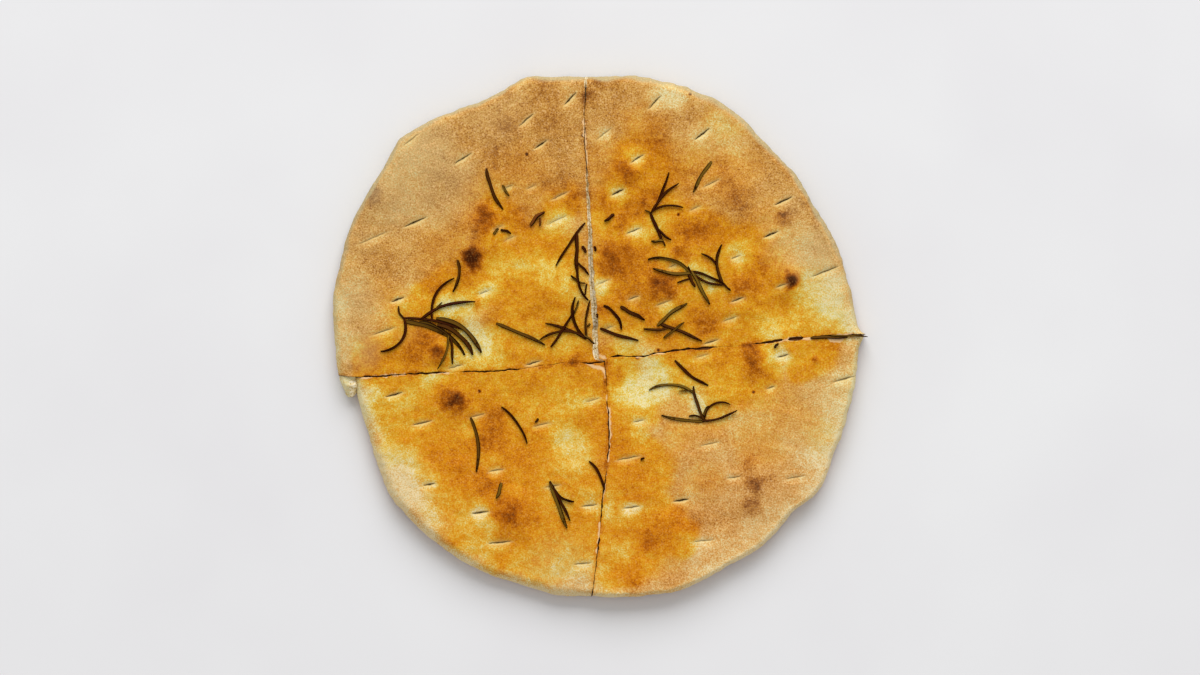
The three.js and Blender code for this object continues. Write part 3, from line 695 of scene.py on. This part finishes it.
def quarter_place(quarter, ring, sweep, rise):
    """Places in a quarter: ring runs from tip to rim, sweep from one cut to the other, rise from base to
    crust. Returns x, y and the distance in from the rim."""
    first = cut_side(quarter["cuts"][0], quarter["reach"][0], 1)
    second = cut_side(quarter["cuts"][1], quarter["reach"][1], -1)
    tip = cut_edge(first, second, 0.0, rise)
    ends = cut_edge(first, second, 1.0, rise), cut_edge(second, first, 1.0, rise)
    angles, radii = np.radians([k[0] for k in quarter["rim"]]), [k[1] for k in quarter["rim"]]
    rim = smooth_line([ends[0], *np.stack([radii * np.cos(angles), radii * np.sin(angles)], -1), ends[1]])
    round_rim = sweep * rim[1][-1]
    spoke = along_line(rim, round_rim) - tip
    length = np.linalg.norm(spoke, axis=-1)
    # Rings lie closer together toward the rim, and the lumps show only there
    spacing = ring * (1.35 - 0.35 * ring)
    inset = BASE_INSET * (1 - math.sqrt(1 - (1 - rise) ** 2))
    down_rim = 9 * rise + 1.6 * (1 - spacing) * length
    rim_lumps = 0.5 * uneven(round_rim, down_rim, 7, 41) + 0.3 * uneven(round_rim, down_rim, 2.5, 42)
    out = (spacing * (1 - (inset - rim_lumps * ring ** 8) / length))[:, None]
    place = tip + spoke * out
    # The frayed cuts carry the places beside them along
    for mine, other, end, share in ((first, second, ends[0], 1 - sweep), (second, first, ends[1], sweep)):
        drift = cut_edge(mine, other, out[:, 0], rise) - (tip + (end - tip) * out)
        place = place + drift * share[:, None]
    return place[:, 0], place[:, 1], (1 - spacing) * length


def quarter_top(x, y, from_rim, rounding):
    """Height of a quarter's top, with its slits and its rounded rim."""
    whole = crust_height(x, y) - slit_marks(x, y)[0] * ease(0, 6, from_rim)
    return RIM_HEIGHT + (whole - RIM_HEIGHT) * dome(from_rim, rounding)


def crust_values(quarter, x, y, z, from_rim):
    """What the oven and the knife left at each point of a quarter, together with some painted shade and
    light, which its materials are coloured by.
    """
    slits = slit_marks(x, y)[1]
    slit_pale = slits.pop("slit_pale")
    cuts = quarter["cuts"]
    from_cuts = [nearest(cut_line(cut)[0][::2], x, y) for cut in cuts]
    from_crossing = np.hypot(x - CROSSING[0], y - CROSSING[1])
    pale = np.where(from_cuts[0] < from_cuts[1], *(pale_crumb(cut, from_crossing) for cut in cuts))
    torn = lifted_skin(quarter["lifted"], x, y)
    for cut, gap in zip(cuts, from_cuts):
        torn = np.maximum(torn, torn_skin(quarter["torn"][cut], from_crossing, gap, x, y))
    rim = ease(8, 1, from_rim + 2.5 * uneven(x, y, 14, 51) + 1.5 * uneven(x, y, 5, 52))
    edge = ease(4.2, 0.8, from_rim + 1.2 * uneven(x, y, 9, 54))
    foot = ease(3.4, 0.4, z + 1.2 * uneven(x, y, 9, 55))
    back = ease(-0.3, 0.6, y / np.hypot(x, y))
    # Going down the wall counts as going on across the crust, so that patches don't run down it as streaks
    fall = 0.7 * np.maximum(0, 9.5 - z)
    toast = browning(x + fall, y + fall) - SLIT_PALER * slit_pale
    # Painted shade and light against the lamp behind: the back rim, which it lights most, is made browner,
    # and the front of the outer edge, left in its shade, is made paler, here and by the lower floor on the
    # next line.
    toast = toast + (BACK_RIM_PAINTED_SHADE * back - RIM_PALER) * rim - FRONT_EDGE_PAINTED_LIGHT * (1 - back) * edge
    toast = np.maximum(toast, PALEST - PALEST * (1 - back) * edge)
    toast = toast + (WALL_BROWNER - BACK_WALL_PALER * back) * ease(5.4, 2.4, z) + FOOT_BROWNER * foot
    along_cut = ease(2.4, 0.6, np.minimum(*from_cuts))
    toast = toast + CUT_BROWNER * along_cut * (0.5 + 0.5 * uneven(x, y, 4, 53))
    oil = oil_cover(x, y) * (1 - 0.75 * rim) * (1 - 0.4 * slit_pale)
    flour = np.maximum(flour_left(x, y), 1.5 * back * edge) * (1 - 0.7 * foot)
    return dict(toast=toast, oil=oil, flour=flour, torn=torn, pale_crumb=pale, **slits)


def bake_quarter(name, materials):
    """A quarter of the bread in one piece: crust, wall, cut faces and base."""
    quarter = QUARTERS[name]
    ring, sweep, numbers, loop = quarter_grid()
    x, y, from_rim = quarter_place(quarter, ring, sweep, 1.0)
    z = quarter_top(x, y, from_rim, quarter["rounding"])
    rows = [(x, y, z, from_rim)]
    for rise in WALL_RISES:
        wall_x, wall_y, wall_in = quarter_place(quarter, ring[loop], sweep[loop], rise)
        wall_z = np.maximum(0, -PRESSED_FOOT + (z[loop] + PRESSED_FOOT) * rise)
        rows.append((wall_x, wall_y, wall_z, wall_in))
    x, y, z, from_rim = (np.concatenate(column) for column in zip(*rows))
    values = crust_values(quarter, x, y, z, from_rim)
    values["slit_open"][len(ring):] = 0
    faces, kinds = quarter_faces(numbers, loop)
    points = np.stack([x, y, z], -1)
    mesh_piece("crust_" + name, "quarter_" + name, points, faces, values, materials, kinds)


def torn_rim(materials):
    """The scrap of rim that tore off with the back left quarter: a lump of crust with a ragged end."""
    foot_x, foot_y, heading, length, turn, width = TORN_RIM
    steps = corners = TORN_RIM_STEPS
    s = np.linspace(0, 1, steps + 1)
    around = np.linspace(0, 2 * math.pi, corners, endpoint=False)
    across = np.sign(np.cos(around)) * np.abs(np.cos(around)) ** 0.5
    up = np.where(np.sin(around) > 0, np.abs(np.sin(around)) ** 0.6, -np.abs(np.sin(around)) ** 0.3)
    # Seen from above it runs to a point on the outside and breaks off raggedly on the inside
    outside = width / 2 * (1.1 - 0.85 * ease(0.45, 1.05, s))
    inside = width / 2 * (1.1 - 0.25 * s) * np.sqrt(np.clip(1 - np.clip((s - 0.72) / 0.29, 0, 1) ** 2, 0, 1))
    lines = (*bent_line(foot_x, foot_y, heading, length, turn, s), s, outside, inside)
    x, y, facing, s, outside, inside = (np.repeat(line, corners) for line in lines)
    around, across, up = (np.tile(loop, steps + 1) for loop in (around, across, up))
    lumps = rough(s * length, 6 * np.cos(around) + 3 * np.sin(around), 3.5, 71)
    side = across * (np.where(across < 0, outside, inside) + 1.4 * lumps)
    top = RIM_HEIGHT + (TORN_RIM_HEIGHT - RIM_HEIGHT) * dome(side + outside, TORN_RIM_ROUNDING)
    rise = top / 2 * (1 + up) * (1 - 0.3 * ease(0.6, 1, s))
    rise = np.maximum(0, rise + 1.2 * lumps * (up > 0))
    points = np.stack([x - side * np.sin(facing), y + side * np.cos(facing), rise], -1)
    none = np.zeros(len(points))
    broken = np.clip(side / width + 0.15, 0, 1) * ease(0.5, 0.8, s)
    values = dict(toast=0.25 * lumps + 0.5 * broken, oil=none + 0.2, flour=none, torn=none,
                  pale_crumb=none + 1, slit_run=none + NO_SLIT, slit_side=none + NO_SLIT, slit_open=none)
    inner = (s[corners:] > 0.5) & (across[corners:] > 0.3)
    kinds = np.where([*inner, True, True], CRUMB, CRUST)
    faces = tube_faces(steps, corners)
    mesh_piece("torn_rim", "quarter_back_left", points, faces, values, materials[:2], kinds)


# Rosemary

def leaf_shape(leaf, lift, seed):
    """One dried leaf: its points, its faces, and its place along and across itself and how green it dried."""
    foot_x, foot_y, heading, length, turn, width, *tone = leaf
    chance = np.random.default_rng(seed)
    steps = max(8, int(length / LEAF_STEP))
    s = np.linspace(0, 1, steps + 1)
    x, y, facing = bent_line(foot_x, foot_y, heading, length, turn, s)
    sway = 0.12 * width * np.sin(chance.uniform(0, 6) + s * chance.uniform(4, 9)) * np.sin(math.pi * s)
    x = x - sway * np.sin(facing)
    y = y + sway * np.cos(facing)
    body = np.clip(0.55 + s / 0.25, 0, 1) * (1 - 0.62 * np.clip((s - 0.7) / 0.3, 0, 1) ** 2)
    body = 0.85 * body * (1 + 0.08 * np.sin(chance.uniform(0, 6) + 11 * s))
    twist = chance.uniform(-0.5, 0.5) + chance.uniform(-0.8, 0.8) * s
    arch = chance.uniform(0, 0.5) * np.sin(math.pi * s) + chance.uniform(0, 0.9) * s ** 3
    dried = 0.15 + 0.85 * chance.uniform(0, 1) ** 1.7
    z = crust_height(x, y) + lift + arch
    x, y, z, facing, body, twist = (line[:, None] for line in (x, y, z, facing, body, twist))
    side = LEAF_SECTION[:, 0] * (width / 2 * body)
    up = LEAF_SECTION[:, 1] * (LEAF_THICKNESS / 2 * (0.35 + 0.65 * body))
    turned_side = side * np.cos(twist) - up * np.sin(twist)
    turned_up = side * np.sin(twist) + up * np.cos(twist)
    places = [x - turned_side * np.sin(facing), y + turned_side * np.cos(facing), z + turned_up]
    points = np.stack(places, -1).reshape(-1, 3)
    corners = len(LEAF_SECTION)
    values = dict(
        along=np.repeat(s, corners), across=np.tile(LEAF_SECTION[:, 0], steps + 1),
        dried=np.full(len(points), tone[0] if tone else dried))
    return points, tube_faces(steps, corners), values


def leaf_piece(name, node, leaves, lift, material, seed):
    """All the leaves of a sprig, or all that lie loose on a quarter, as one piece."""
    points, faces, values = [], [], []
    count = 0
    for number, leaf in enumerate(leaves):
        shape, sides, marks = leaf_shape(leaf, lift + LAYER * (number % 3), seed + number)
        points.append(shape)
        faces += [[corner + count for corner in side] for side in sides]
        values.append(marks)
        count += len(shape)
    values = {key: np.concatenate([marks[key] for marks in values]) for key in values[0]}
    mesh_piece(name, node, np.concatenate(points), faces, values, [material])


# Materials

def colour(code):
    """sRGB hex to linear."""
    parts = [int(code[k:k + 2], 16) / 255 for k in (1, 3, 5)]
    return (*[p / 12.92 if p <= 0.04045 else ((p + 0.055) / 1.055) ** 2.4 for p in parts], 1)


def per_mm(size):
    """Texture scale that repeats about once each so many millimetres."""
    return 1 / (size * MM)


def add(tree, kind, inputs=(), stops=(), out=0, **settings):
    """Adds a node with its settings and a ramp's stops, and gives the socket that comes out of it. What goes
    in is a list in the node's own order or a dict: sockets are linked, numbers and hex colours are set."""
    node = tree.nodes.new("ShaderNode" + kind)
    for key, value in settings.items():
        setattr(node, key, value)
    for key, value in inputs.items() if isinstance(inputs, dict) else enumerate(inputs):
        if isinstance(value, bpy.types.NodeSocket):
            tree.links.new(value, node.inputs[key])
        else:
            node.inputs[key].default_value = colour(value) if isinstance(value, str) else value
    for k, (place, code) in enumerate(stops):
        elements = node.color_ramp.elements
        element = elements[k] if k < len(elements) else elements.new(place)
        element.position = place
        element.color = colour(code)
    return node.outputs[out] if node.outputs else None


# A mix of colours takes the share at input 0 and the colours at 6 and 7, and gives the result at output 2
OF_COLOURS = dict(data_type="RGBA", out=2)


def new_material(surface):
    """A material named for its surface, which takes the place on the part and gives the shader's inputs."""
    made = bpy.data.materials.new(surface.__name__)
    made.use_nodes = True
    tree = made.node_tree
    tree.nodes.clear()
    place = add(tree, "TexCoord", out="Object")
    shader = add(tree, "BsdfPrincipled", surface(tree, place))
    add(tree, "OutputMaterial", [shader])
    return made


def slit_crack_shade_and_lip(tree, crust, mottle):
    """The crack along a slit, a hairline that tapers to both ends and is painted dark as painted shade, and
    the
    lip below it: paler dough with a painted highlight where it slopes toward the lamp.
    """
    run, side, opened = (add(tree, "Attribute", out="Fac", attribute_name="slit_" + name)
                         for name in ("run", "side", "open"))
    bent = add(tree, "MapRange", [mottle, 0.3, 0.7, -0.35, 0.35])
    bent = add(tree, "Math", [side, bent], operation="ADD")
    squared = add(tree, "Math", [run, run], operation="MULTIPLY")
    taper = add(tree, "Math", [1, squared], operation="SUBTRACT", use_clamp=True)
    half = add(tree, "MapRange", [opened, 0.3, 1, 0.32, 0.76])
    half = add(tree, "Math", [half, taper], operation="MULTIPLY")
    off = add(tree, "Math", [bent], operation="ABSOLUTE")
    painted_crack_shade = add(tree, "MapRange", [off, half, 0, 0, 1.3])
    painted_crack_shade = add(tree, "Math", [painted_crack_shade, opened], operation="MULTIPLY", use_clamp=True)
    longer = add(tree, "Math", [squared, -0.5, 1], operation="MULTIPLY_ADD", use_clamp=True)
    lip_width = add(tree, "Math", [longer, 1.9], operation="MULTIPLY")
    below = add(tree, "Math", [bent, 0.35], operation="ADD")
    below = add(tree, "Math", [below], operation="ABSOLUTE")
    lip_paleness_and_highlight = add(tree, "MapRange", [below, lip_width, 0.3, 0, 0.75])
    lip_paleness_and_highlight = add(tree, "Math", [lip_paleness_and_highlight, longer], operation="MULTIPLY")
    lip_paleness_and_highlight = add(tree, "Math", [lip_paleness_and_highlight, opened], operation="MULTIPLY", use_clamp=True)
    # The lip is paler dough with a painted highlight where it slopes toward the lamp; the dark crack is
    # painted shade.
    crust = add(tree, "Mix", {0: lip_paleness_and_highlight, 6: crust, 7: "#e3c988"}, **OF_COLOURS)
    return add(tree, "Mix", {0: painted_crack_shade, 6: crust, 7: "#3c2300"}, **OF_COLOURS)


def baked_wheat_crust(tree, place):
    # Wheat dough baked on stone: floury and matt where it stayed dry, saturated and slightly glossy where
    # olive oil soaked in. Darker where it blistered, cream where it hardly coloured.
    toast, oil, flour, torn = (add(tree, "Attribute", out="Fac", attribute_name=name)
                               for name in ("toast", "oil", "flour", "torn"))
    # Flour's grit is finer than this; drawn at 0.8 mm so that it shows.
    grit = add(tree, "TexNoise", {"Vector": place, "Scale": per_mm(0.8), "Detail": 2, "Roughness": 0.6})
    mottle = add(tree, "TexNoise", {"Vector": place, "Scale": per_mm(3.4), "Detail": 4, "Roughness": 0.65})
    # Mottling and grit shift the browning up and down, the grit least where it is dark
    blotch = add(tree, "MapRange", [mottle, 0.3, 0.7, -1, 1])
    blotch_gain = add(tree, "MapRange", [oil, 0, 1, 0.08, 0.11])
    toast = add(tree, "Math", [blotch, blotch_gain, toast], operation="MULTIPLY_ADD")
    grain = add(tree, "MapRange", [grit, 0.3, 0.7, 0.37, -0.37])
    grain_gain = add(tree, "MapRange", [oil, 0, 1, 0.9, 0.55])
    calmer = add(tree, "MapRange", [toast, 0.55, 0.8, 0.8, 0.28])
    grain = add(tree, "Math", [grain, calmer], operation="MULTIPLY")
    toast = add(tree, "Math", [grain, grain_gain, toast], operation="MULTIPLY_ADD")
    dry = add(tree, "ValToRGB", [toast], stops=[
        (0, "#eadcaa"), (0.1, "#e2d096"), (0.2, "#dcbf7b"), (0.35, "#d8a65a"), (0.5, "#cb9348"),
        (0.65, "#b77c33"), (0.8, "#8f5520"), (1, "#40200a")])
    oiled = add(tree, "ValToRGB", [toast], stops=[
        (0, "#eaddaa"), (0.08, "#e2d290"), (0.17, "#e0c662"), (0.3, "#dca92e"), (0.45, "#d68d10"),
        (0.6, "#c8780c"), (0.74, "#a65804"), (0.87, "#743704"), (1, "#441a02")])
    crust = add(tree, "Mix", {0: oil, 6: dry, 7: oiled}, **OF_COLOURS)
    # The front of the round baked to a slightly redder brown than the back
    toward_back = add(tree, "SeparateXYZ", [place], out="Y")
    front = add(tree, "MapRange", [toward_back, -30 * MM, -80 * MM])
    redder = add(tree, "ValToRGB", [front], stops=[(0, "#fcffff"), (1, "#fff9fd")])
    crust = add(tree, "Mix", {0: 1, 6: crust, 7: redder}, blend_type="MULTIPLY", **OF_COLOURS)
    dust = add(tree, "MapRange", [grit, 0.25, 0.75, 0.35, 1])
    dust = add(tree, "Math", [dust, flour], operation="MULTIPLY", use_clamp=True)
    crust = add(tree, "Mix", {0: dust, 6: crust, 7: "#b5a478"}, **OF_COLOURS)
    # Pale specks of dry skin are finer than this; drawn at 0.95 mm so that they show. On the oiled crust they
    # also stand in as painted glints of light on the oil.
    specks = add(tree, "TexNoise", {"Vector": place, "Scale": per_mm(0.95), "Detail": 1, "Roughness": 0.5})
    specks_gain = add(tree, "MapRange", [oil, 0, 1, 0.72, 0.42])
    specks_gain = add(tree, "Math", [specks_gain, calmer], operation="MULTIPLY")
    specks = add(tree, "MapRange", [specks, 0.53, 0.72, 0, specks_gain])
    skin_speck_and_glint = add(tree, "Mix", {0: oil, 6: "#f2c68a", 7: "#f2bb66"}, **OF_COLOURS)
    crust = add(tree, "Mix", {0: specks, 6: crust, 7: skin_speck_and_glint}, **OF_COLOURS)
    crust = add(tree, "Mix", {0: torn, 6: crust, 7: "#eabf88"}, **OF_COLOURS)
    crust = slit_crack_shade_and_lip(tree, crust, mottle)
    gloss = add(tree, "MapRange", [oil, 0, 1, 0.85, 0.42])
    relief = add(tree, "Bump", {"Height": grit, "Strength": 0.3, "Distance": 0.4 * MM})
    return {"Base Color": crust, "Roughness": gloss, "Normal": relief, "IOR": 1.45,
            "Specular IOR Level": 0.05}


def soft_wheat_crumb(tree, place):
    # The inside of the bread: pale, matt and full of small pores, whose shade is painted as darker flecks. In
    # a cut, where it isn't pale, it is painted dark brown as the cut's shade.
    pale = add(tree, "Attribute", out="Fac", attribute_name="pale_crumb")
    pores = add(tree, "TexVoronoi", {"Vector": place, "Scale": per_mm(1.3)})
    tint = add(tree, "TexNoise", {"Vector": place, "Scale": per_mm(4), "Detail": 3, "Roughness": 0.7})
    tint = add(tree, "MapRange", [tint, 0.45, 0.65, 0, 0.7])
    walls = add(tree, "ValToRGB", [pores], stops=[(0.1, "#6e4c12"), (0.3, "#f0d490"), (0.6, "#fff2d0")])
    crumb = add(tree, "Mix", {0: tint, 6: walls, 7: "#ccaa60"}, **OF_COLOURS)
    # Painted shade: where the crumb isn't pale it is painted dark brown, standing in for the shade deep in
    # the cut.
    crumb = add(tree, "Mix", {0: pale, 6: "#57300f", 7: crumb}, **OF_COLOURS)
    relief = add(tree, "Bump", {"Height": pores, "Strength": 0.5, "Distance": 0.6 * MM})
    return {"Base Color": crumb, "Roughness": 0.9, "Normal": relief, "Specular IOR Level": 0.2}


def stone_baked_base(tree, place):
    # The underside: dry, dusted with bench flour and browned in patches where it lay on the hot stone.
    patches = add(tree, "TexNoise", {"Vector": place, "Scale": per_mm(22), "Detail": 5, "Roughness": 0.65})
    # Dry flour is finer than this; drawn at 1.5 mm so that it shows.
    dust = add(tree, "TexNoise", {"Vector": place, "Scale": per_mm(1.5), "Detail": 2})
    browned = add(tree, "ValToRGB", [patches], stops=[
        (0.3, "#e0c998"), (0.48, "#cfa566"), (0.6, "#ad7636"), (0.72, "#6b3d1b")])
    dusted = add(tree, "ValToRGB", [dust], stops=[(0.5, "#000000"), (0.7, "#808080")])
    base = add(tree, "Mix", {0: dusted, 6: browned, 7: "#efe6cf"}, **OF_COLOURS)
    relief = add(tree, "Bump", {"Height": dust, "Strength": 0.3, "Distance": 0.3 * MM})
    return {"Base Color": base, "Roughness": 0.9, "Normal": relief, "Specular IOR Level": 0.2}


def oven_dried_rosemary(tree, place):
    # Rosemary dried in the oven: brown-green and dark, with rolled black edges, a duller olive middle and a
    # faint sheen of oil.
    along, across, dried = (add(tree, "Attribute", out="Fac", attribute_name=name)
                            for name in ("along", "across", "dried"))
    # A leaf's fibres are finer than this; drawn at 1.6 mm so that they show.
    fibre = add(tree, "TexNoise", {"Vector": place, "Scale": per_mm(1.6), "Detail": 3})
    olive = add(tree, "ValToRGB", [dried], stops=[
        (0, "#6b3a14"), (0.15, "#3e1806"), (0.6, "#53310b"), (1, "#735618")])
    edge = add(tree, "Math", [across], operation="ABSOLUTE")
    edge = add(tree, "MapRange", [edge, 0.45, 0.8])
    leaf = add(tree, "Mix", {0: edge, 6: olive, 7: "#1e0600"}, **OF_COLOURS)
    scorch = add(tree, "Math", [fibre, along], operation="MULTIPLY")
    scorch = add(tree, "MapRange", [scorch, 0.3, 0.55])
    leaf = add(tree, "Mix", {0: scorch, 6: leaf, 7: "#260a01"}, **OF_COLOURS)
    relief = add(tree, "Bump", {"Height": fibre, "Strength": 0.3, "Distance": 0.3 * MM})
    return {"Base Color": leaf, "Roughness": 0.4, "Normal": relief, "Specular IOR Level": 0.02}


def rolled_matt_white_paint(tree, place):
    # Matt white paint put on with a roller: pale and even, very slightly clouded.
    cloud = add(tree, "TexNoise", {"Vector": place, "Scale": per_mm(160), "Detail": 3})
    paint = add(tree, "ValToRGB", [cloud], stops=[(0.3, "#e4e3e4"), (0.7, "#e9e9e9")])
    return {"Base Color": paint, "Roughness": 0.8, "Specular IOR Level": 0.2}


# Studio: a pale floor, a camera straight above, a large soft light behind and fill all round, in metres

FLOOR_HALF = 3.0
FLOOR_HEIGHT = -0.0003
CAMERA_HEIGHT = 2.4
SENSOR_WIDTH = 36
# The photograph's width in pixels, the size of one on the bread and the place at its middle, in millimetres
PHOTO_WIDTH = 1200
PIXEL = 0.57
PHOTO_MIDDLE = (1.995, -0.57)
LIGHT_SIZE = (5.4, 4.2)
LIGHT_PLACE = (0.25, 4.8, 3.65)
LIGHT_TILT = (-52.5, 0, -3)
LIGHT_WATTS = 368
FILL_STRENGTH = 0.56


def studio():
    scene = bpy.context.scene
    mesh = bpy.data.meshes.new("board")
    corners = [(-FLOOR_HALF, -FLOOR_HALF), (FLOOR_HALF, -FLOOR_HALF), (FLOOR_HALF, FLOOR_HALF),
               (-FLOOR_HALF, FLOOR_HALF)]
    mesh.from_pydata([(x, y, FLOOR_HEIGHT) for x, y in corners], [], [(0, 1, 2, 3)])
    mesh.materials.append(new_material(rolled_matt_white_paint))
    in_scene("board", mesh)

    eye = bpy.data.cameras.new("overhead_camera")
    eye.sensor_width = SENSOR_WIDTH
    eye.lens = SENSOR_WIDTH * CAMERA_HEIGHT / (PHOTO_WIDTH * PIXEL * MM)
    scene.camera = in_scene("overhead_camera", eye)
    middle_x, middle_y = ((place - origin) * MM for place, origin in zip(PHOTO_MIDDLE, ORIGIN))
    scene.camera.location = (middle_x, middle_y, CAMERA_HEIGHT + RIM_HEIGHT * MM)

    lamp = bpy.data.lights.new("window_light", "AREA")
    lamp.shape = "RECTANGLE"
    lamp.size, lamp.size_y = LIGHT_SIZE
    lamp.energy = LIGHT_WATTS
    window = in_scene("window_light", lamp)
    window.location = LIGHT_PLACE
    window.rotation_euler = [math.radians(angle) for angle in LIGHT_TILT]

    scene.world = bpy.data.worlds.new("soft_room")
    scene.world.use_nodes = True
    fill = scene.world.node_tree.nodes["Background"].inputs
    fill["Color"].default_value = colour("#f4f4f6")
    fill["Strength"].default_value = FILL_STRENGTH
    scene.view_settings.view_transform = "Standard"


bread = [new_material(surface) for surface in (baked_wheat_crust, soft_wheat_crumb, stone_baked_base)]
for quarter_name in QUARTERS:
    bake_quarter(quarter_name, bread)
torn_rim(bread)
rosemary = new_material(oven_dried_rosemary)
for order, (sprig_name, leaves) in enumerate(SPRIGS.items()):
    seed = SPRIG_SEED + SEED_STEP * order
    leaf_piece(sprig_name + "_leaves", sprig_name, leaves, SPRIG_LIFT, rosemary, seed)
for order, (quarter_name, leaves) in enumerate(LOOSE_LEAVES.items()):
    seed = LOOSE_SEED + SEED_STEP * order
    leaf_piece("loose_leaves_" + quarter_name, "quarter_" + quarter_name, leaves, LOOSE_LIFT, rosemary, seed)
studio()
